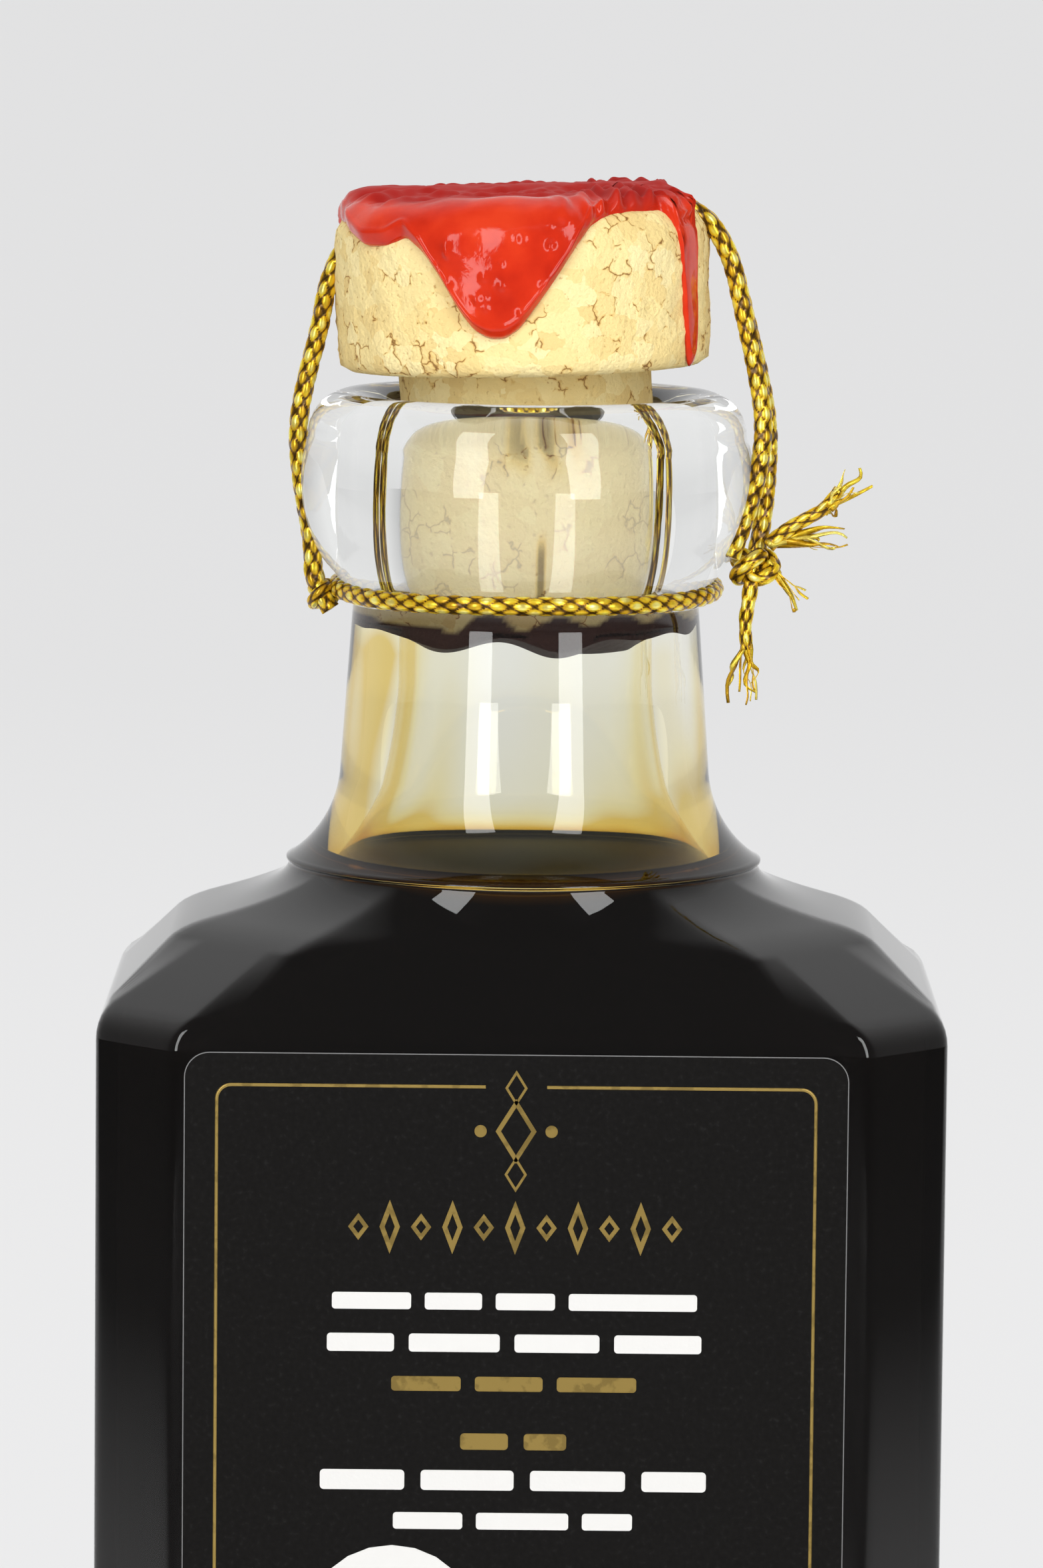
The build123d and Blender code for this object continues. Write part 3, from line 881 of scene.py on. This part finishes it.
def threads(name, starts, ends, width, seed):
    """Ribbons from starts to ends, each bowed by a smooth random swing that is nil at its start."""
    rng = np.random.default_rng(seed)
    half_thick = 0.035
    meshes = []
    t = np.linspace(0, 1, 14)[:, None]
    for start, end in zip(raised(starts), raised(ends)):
        bow, curl = rng.normal(size=(2, 3)) * [0.45, 0.35, 0.45]
        line = (start + (end - start) * t + bow * np.sin(math.pi * t) * t
                + curl * 0.5 * np.sin(3 * math.pi * t) * t)
        sides, ups = carried(line)
        spin = rng.uniform(0, 6.28) + rng.uniform(-2, 2) * t
        flat = sides * np.cos(spin) + ups * np.sin(spin)
        deep = ups * np.cos(spin) - sides * np.sin(spin)
        half = width * (1 - 0.6 * t) / 2
        meshes.append(np.stack([line + flat * half, line + deep * half_thick,
                                line - flat * half, line - deep * half_thick], 1))
    grid = np.array(meshes)
    count, rows, cols = grid.shape[:3]
    index = np.arange(count * rows * cols).reshape(count, rows, cols)
    beside = np.roll(index, -1, 2)
    quads = np.stack([index[:, :-1], beside[:, :-1], beside[:, 1:], index[:, 1:]], -1)
    tips = np.concatenate([index[:, 0], index[:, -1, ::-1]])
    mesh = bpy.data.meshes.new(name)
    mesh.from_pydata((grid.reshape(-1, 3) * MM).tolist(), [], quads.reshape(-1, 4).tolist() + tips.tolist())
    mark = mesh.attributes.new("shade", "FLOAT", "POINT")
    mark.data.foreach_set("value", np.repeat(rng.uniform(0.35, 1, count), rows * cols).astype(np.float32))
    return place(name, mesh, gold_cord)


rng = np.random.default_rng(4)
spray, sparse = 9, 5   # threads in a full spray and in the small one
up_start = np.array([[22.4, -4.0, 27.2]]) + rng.normal(size=(spray, 3)) * 0.2
up_end = np.array([[24.0, -4.2, 29.3]]) + rng.normal(size=(spray, 3)) * [0.9, 0.8, 1.0]
side_start = np.array([[18.6, -3.2, 24.8]]) + rng.normal(size=(spray, 3)) * 0.3
side_end = np.stack([rng.uniform(*span, spray) for span in ((21.5, 25.6), (-5.5, -2.5), (23.6, 26.4))], -1)
down_start = np.array([[16.55, -4.2, 17.2]]) + rng.normal(size=(spray, 3)) * 0.2
down_end = np.stack([rng.uniform(*span, spray) for span in ((14.6, 17.4), (-5.2, -3.6), (11.6, 14.4))], -1)
low_start = np.array([[18.2, -3.2, 22.9]]) + rng.normal(size=(sparse, 3)) * 0.25
low_end = np.stack([rng.uniform(*span, sparse) for span in ((20.0, 21.2), (-4.4, -3.0), (19.2, 21.2))], -1)
threads("frayed_threads", np.vstack([up_start, side_start, down_start, low_start]),
        np.vstack([up_end, side_end, down_end, low_end]), 0.62, 6)

# %% [markdown]
# ## The label
# Black paper keeps its solid, with a finish that is faintly mottled. Foil and white
# print are thin plates a hair above it: a frame, an ornament, and bars where
# lines of print would be.

# %% Paper, foil and white ink
def make_paper():
    """Matt and nearly black, with a fine mottle and a faint grain."""
    material, nodes, links, shader = finish("black paper", (0.009, 0.0086, 0.0083), 0.6,
                                            Specular_IOR_Level=0.05)
    spots = add_speckle(nodes, 240, 2600, 2)
    tone = ramp(nodes, links, spots.outputs["Fine"],
                [(0.35, (0.0070, 0.0066, 0.0062)), (0.6, (0.0085, 0.008, 0.0076)),
                 (0.75, (0.014, 0.0135, 0.013))])
    links.new(tone, shader.inputs["Base Color"])
    bump(nodes, links, shader, spots.outputs["Fine"], 0.00004, 0.5)
    return material


def make_print(name, color, roughness, metallic):
    """A thin layer of one colour, dimmed in spots where it is metallic."""
    material, nodes, links, shader = finish(name, color, roughness, Metallic=metallic)
    spots = add_speckle(nodes, 900, 3600, 5)
    dim = tuple(c * (1 - 0.4 * metallic) for c in color)
    tone = ramp(nodes, links, spots.outputs["Mask"], [(0.0, dim), (0.4, color), (1.0, color)])
    links.new(tone, shader.inputs["Base Color"])
    bump(nodes, links, shader, spots.outputs["Fine"], 0.00003, 0.4)
    return material


black_paper = make_paper()
cut_edge = make_print("cut paper edge", (0.2, 0.2, 0.2), 0.6, 0.0)
gold_foil = make_print("gold foil", (0.42, 0.29, 0.08), 0.36, 0.7)
white_ink = make_print("white ink", (0.72, 0.71, 0.69), 0.5, 0.0)
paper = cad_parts["front_label"]
paper.data.materials.clear()
paper.data.materials.append(black_paper)
label_low, label_high = [np.array(c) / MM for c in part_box("front_label")]
label_middle = (label_low[0] + label_high[0]) / 2
print_depth = label_low[1]
print("label", (label_high - label_low).round(2), "mm")

# %% [markdown]
# Every part of the print is a closed thin shape that stands a hair out of the
# paper and reaches a little into it. Plates are filled outlines, a hollow shape
# is an outline and its smaller copy, and a line of words is a row of plain bars.

# %% Plates and lines of print
print_lift, print_sink = 0.03, -0.01


def rounded(width, height, radius, per_corner=7):
    """Outline of a rounded rectangle about its middle: a quarter circle at each corner."""
    a = np.concatenate([np.linspace(q, q + 90, per_corner) for q in (0, 90, 180, 270)]) * math.pi / 180
    sx = np.repeat([1, -1, -1, 1], per_corner) * (width / 2 - radius)
    sz = np.repeat([1, 1, -1, -1], per_corner) * (height / 2 - radius)
    return np.stack([sx + radius * np.cos(a), sz + radius * np.sin(a)], -1)


def plate(outline, x, z, lift=print_lift):
    """A thin flat piece of print: its outline, closed front and back to its middle."""
    ends = [np.c_[o[:, 0] + x, np.full(len(o), print_depth - y), o[:, 1] + z]
            for o, y in ((outline * 0, lift), (outline, lift), (outline, print_sink),
                         (outline * 0, print_sink))]
    return np.array(ends)


def hollow(outline, share, x, z):
    """A thin open shape of print: the outline and the same outline shrunk by share."""
    rows = ((share, print_sink), (share, print_lift), (1, print_lift), (1, print_sink),
            (share, print_sink))
    return np.array([np.c_[outline[:, 0] * k + x, np.full(len(outline), print_depth - y),
                           outline[:, 1] * k + z] for k, y in rows])


def printed(name, plates, material):
    """Joins many plates of the same outline count into one piece."""
    whole = []
    faces = []
    for grid in plates:
        rows, cols = grid.shape[:2]
        index = np.arange(rows * cols).reshape(rows, cols) + sum(len(w) for w in whole)
        right = np.roll(index, -1, 1)
        faces += np.stack([index[:-1], right[:-1], right[1:], index[1:]], -1).reshape(-1, 4).tolist()
        whole.append(grid.reshape(-1, 3))
    mesh = bpy.data.meshes.new(name)
    mesh.from_pydata((np.vstack(whole) * MM).tolist(), [], faces)
    piece = place(name, mesh, material)
    piece.data.shade_flat()
    return piece


def words(total, height, middle, x, seed, bar=0.5):
    """A line of print as a row of plain bars with gaps between, the whole centred on x."""
    rng = np.random.default_rng(seed)
    count = max(2, round(total / (height * 2.6)))
    widths = rng.uniform(0.6, 1.4, count)
    gap = height * 0.4
    widths *= (total - gap * (count - 1)) / widths.sum()
    starts = np.cumsum(np.r_[0, widths[:-1] + gap]) - total / 2
    return [plate(rounded(width, height * bar, height * 0.1), x + start + width / 2, middle)
            for start, width in zip(starts, widths)]


def line_loop(width, height, radius, thick, gap=0.0):
    """A thin frame: the rounded outline offset in and out, open for gap at the middle of its top."""
    out = rounded(width, height, radius, 12)
    back = rounded(width - 2 * thick, height - 2 * thick, radius - thick, 12)
    if gap:
        top = len(out) // 4
        out, back = [np.vstack([[-gap / 2, z], o[top:], o[:top], [gap / 2, z]])
                     for o, z in ((out, height / 2), (back, height / 2 - thick))]
    return out, back


def frame_piece(name, width, height, radius, thick, x, z, material, gap=0.0, lift=print_lift):
    """A frame of print: its two loops, each at the front and at the back, joined into a closed bar."""
    out, back = line_loop(width, height, radius, thick, gap)
    rows = [(out, print_sink), (out, lift), (back, lift), (back, print_sink)]
    grid = np.array([np.c_[o[:, 0] + x, np.full(len(o), print_depth - y), o[:, 1] + z] for o, y in rows])
    return surface(name, grid.transpose(1, 0, 2), material, ring=not gap)


label_size = label_high - label_low
label_centre_z = (label_high[2] + label_low[2]) / 2
inset = 2.3
frame_piece("foil_frame", label_size[0] - 2 * inset, label_size[2] - 2 * inset, 1.2, 0.24, label_middle,
            label_centre_z, gold_foil, gap=4.5)
frame_piece("paper_edge", label_size[0] - 0.04, label_size[2] - 0.04, 1.88, 0.07, label_middle,
            label_centre_z, cut_edge, lift=0.012)

# %% [markdown]
# Where words would be there are bars, in gold and in white, and above them stands
# an ornament of open lozenges. A blank disc sits left of the middle, between the
# upper and the lower lines.

# %% The lines of print, from the top down
gold_lines = [(18.0, 2.6, -35.8), (7.8, 2.9, -40.1), (20.0, 2.2, -70.0)]
white_lines = [(26.8, 2.5, -29.65), (27.5, 2.7, -32.75), (28.4, 3.0, -43.0), (17.6, 2.5, -46.05),
               (24.0, 2.0, -76.0), (30.0, 2.0, -80.0), (26.0, 2.0, -84.0), (14.0, 2.0, -91.0)]
gold = []
for n, (total, tall, z) in enumerate(gold_lines):
    gold += words(total, tall, crease + z, label_middle, 40 + n, bar=0.42)
for n in range(-5, 6):
    tall = 2.0 if n % 2 == 0 else 1.0
    lozenge = np.repeat([[0.75, 0], [0, tall], [-0.75, 0], [0, -tall]], 7, axis=0)
    gold.append(hollow(lozenge, 0.5, label_middle + 2.3 * n, crease - 24.15))
for scale, z in ((1.0, -17.0), (0.55, -13.8), (0.55, -20.2)):
    diamond = np.repeat([[1.5, 0], [0, 2.4], [-1.5, 0], [0, -2.4]], 7, axis=0) * scale
    gold.append(hollow(diamond, 0.74, label_middle, crease + z))
for x in (-2.6, 2.6):
    gold.append(plate(rounded(0.9, 0.9, 0.44), label_middle + x, crease - 17.0))
printed("foil_print", gold, gold_foil)
white = []
for n, (total, tall, z) in enumerate(white_lines):
    white += words(total, tall, crease + z, label_middle, 60 + n)
white.append(plate(rounded(13.0, 13.0, 6.49), -9.2, crease - 54.4, lift=0.02))
printed("white_print", white, white_ink)

# %% [markdown]
# ## Camera, light and backdrop
# The camera stands well back with a long lens, a little above the bottle, and
# looks down at the neck. The floor and backdrop are pale, and two tall soft
# lamps make the pair of bands on the round neck.

# %% Camera
distance, rise = 0.630, 0.0811   # metres in front of the bottle and above the crease
pitch, roll = 6.82, 0.55         # degrees down and round
sensor, lens_ratio = 36, 12600 / 2357   # the lens as a share of the view's longer side
camera = bpy.data.cameras.new("camera")
camera.sensor_width = sensor
camera.sensor_fit = "AUTO"
camera.lens = sensor * lens_ratio
viewer = bpy.data.objects.new("camera", camera)
bpy.context.scene.collection.objects.link(viewer)
viewer.location = (-0.0002, -distance, crease * MM + rise)
viewer.rotation_mode = "XYZ"
facing = Matrix.Rotation(math.radians(90 - pitch), 4, "X") @ Matrix.Rotation(math.radians(roll), 4, "Z")
viewer.rotation_euler = facing.to_euler()
bpy.context.scene.camera = viewer
bpy.context.scene.view_settings.view_transform = "Standard"
print("lens", round(camera.lens, 1), "mm at", distance, "m")

# %% [markdown]
# The floor runs up into a backdrop in one curve. Straight on, through the glass and
# in its reflections it glows a plain pale grey, and the rest of its light is matt,
# so that the bottle's shadow shows. In reflections it fades towards the sides, which
# gives clear glass its darker edges. The world is what lies past the floor's ends: it
# is dim towards the front and brighter towards the back.

# %% Floor and world
def make_backdrop():
    """Matt and pale, mixed with a glow for camera, glass and mirror rays.

    The glow's strength is 1 for the camera and through glass. For mirror rays it falls
    smoothly with the distance to the side, less so further behind the bottle."""
    glow_share, behind = 0.85, -1.6
    material = bpy.data.materials.new("backdrop")
    material.use_nodes = True
    nodes, links = material.node_tree.nodes, material.node_tree.links
    shader = nodes["Principled BSDF"]
    shader.inputs["Base Color"].default_value = (0.8, 0.8, 0.8, 1)
    shader.inputs["Roughness"].default_value = 0.9
    glow = nodes.new("ShaderNodeEmission")
    glow.inputs["Color"].default_value = (0.84, 0.84, 0.845, 1)
    ray = nodes.new("ShaderNodeLightPath").outputs
    seen = calculate(nodes, links, "MAXIMUM", ray["Is Camera Ray"], ray["Is Transmission Ray"])
    shiny = calculate(nodes, links, "MAXIMUM", seen, ray["Is Glossy Ray"])
    where, split = nodes.new("ShaderNodeTexCoord"), nodes.new("ShaderNodeSeparateXYZ")
    links.new(where.outputs["Object"], split.inputs[0])
    aside = calculate(nodes, links, "ABSOLUTE", split.outputs["X"])
    beside = calculate(nodes, links, "MULTIPLY_ADD", split.outputs["Y"], behind, aside)
    fall = map_range(nodes, links, beside, (0.22, 0.72), (1.0, 0.06), "SMOOTHSTEP")
    links.new(calculate(nodes, links, "MAXIMUM", fall, seen), glow.inputs["Strength"])
    mix = nodes.new("ShaderNodeMixShader")
    links.new(calculate(nodes, links, "MULTIPLY", shiny, glow_share), mix.inputs["Fac"])
    links.new(shader.outputs[0], mix.inputs[1])
    links.new(glow.outputs[0], mix.inputs[2])
    links.new(mix.outputs[0], nodes["Material Output"].inputs["Surface"])
    return material


backdrop = make_backdrop()
floor_mesh = bpy.data.meshes.new("floor")
half_wide, near, bend_start, sweep, top_of_wall = 2.0, -2.0, 1.2, 0.6, 3.0   # metres
curve = [[bend_start + sweep * math.sin(a), sweep - sweep * math.cos(a)]
         for a in np.linspace(0.1, math.pi / 2, 12)]
floor_run = [[near, 0.0], [bend_start, 0.0], *curve, [bend_start + sweep, top_of_wall]]
floor_points = [(x, y, z) for y, z in floor_run for x in (-half_wide, half_wide)]
floor_faces = [(2 * n, 2 * n + 1, 2 * n + 3, 2 * n + 2) for n in range(len(floor_run) - 1)]
floor_mesh.from_pydata(floor_points, [], floor_faces)
floor_mesh.shade_smooth()
floor_mesh.materials.append(backdrop)
floor = bpy.data.objects.new("floor", floor_mesh)
bpy.context.scene.collection.objects.link(floor)


def make_world():
    """White, brighter towards the back; never under a set level for camera and glass rays."""
    world = bpy.data.worlds.new("studio")
    world.use_nodes = True
    nodes, links = world.node_tree.nodes, world.node_tree.links
    sky = nodes["Background"]
    sky.inputs["Color"].default_value = (1, 1, 1, 1)
    where, split = nodes.new("ShaderNodeTexCoord"), nodes.new("ShaderNodeSeparateXYZ")
    links.new(where.outputs["Generated"], split.inputs[0])
    strength = map_range(nodes, links, split.outputs["Y"], (-0.1, 0.6), (0.16, 0.85))
    ray = nodes.new("ShaderNodeLightPath").outputs
    for kind, least in (("Is Camera Ray", 0.76), ("Is Transmission Ray", 0.5)):
        part = calculate(nodes, links, "MULTIPLY", ray[kind], least)
        strength = calculate(nodes, links, "MAXIMUM", part, strength)
    links.new(strength, sky.inputs["Strength"])
    return world


bpy.context.scene.world = make_world()
print("floor", 2 * half_wide, "m wide, wall", top_of_wall, "m high")

# %% [markdown]
# Two tall soft lamps stand at the front corners and make the pair of bright bands
# on the neck. A front and a top lamp only light: they are left out of reflections
# and of what shows through glass, where they would be extra bright squares.

# %% Lamps
def lamp(name, place_at, aim, size, power, mirrored=True):
    """A soft rectangular lamp at a place, facing aim; one that isn't mirrored only lights."""
    data = bpy.data.lights.new(name, "AREA")
    data.shape = "RECTANGLE"
    data.size, data.size_y = size
    data.energy = power
    light = bpy.data.objects.new(name, data)
    light.location = place_at
    light.rotation_euler = (Vector(aim) - Vector(place_at)).to_track_quat("-Z", "Y").to_euler()
    light.visible_glossy = light.visible_transmission = mirrored
    bpy.context.scene.collection.objects.link(light)
    print(name, power, "W")


neck = (0, 0, crease * MM)
for side, name in ((-1, "left lamp"), (1, "right lamp")):
    lamp(name, (0.42 * side, -0.75, 0.42), neck, (0.26, 0.75), 3.6)
lamp("front lamp", (0, -0.85, 0.98), neck, (0.5, 0.3), 4, mirrored=False)
lamp("top lamp", (0, 0.55, 0.95), neck, (0.8, 0.5), 6, mirrored=False)
